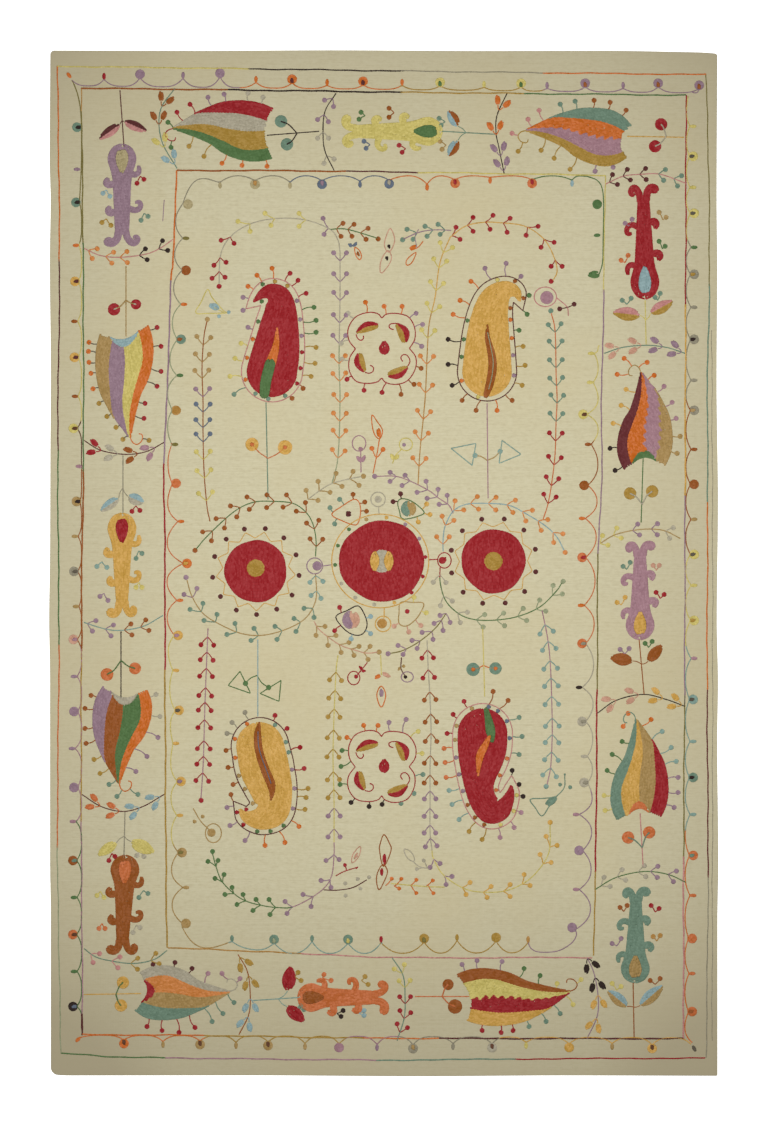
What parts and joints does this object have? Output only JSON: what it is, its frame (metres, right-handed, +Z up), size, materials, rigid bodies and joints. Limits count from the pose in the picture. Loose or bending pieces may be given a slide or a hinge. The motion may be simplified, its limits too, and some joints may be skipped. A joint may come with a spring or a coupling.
{
  "type": "suzani kilim rug",
  "caption": "Flat woven wool rug laid out flat, with raised chain stitch borders, fans, columns, paisleys, vines and round medallions",
  "frame": {"origin": "on the floor under the middle of the rug", "axes": "+Z up from the floor, +Y along the rug's long sides, +X across it"},
  "size_m": [1.8538, 2.8486, 0.003],
  "materials": {
    "wool": "matte"
  },
  "bodies": {
    "root": {"rug": "wool"}
  },
  "joints": []
}
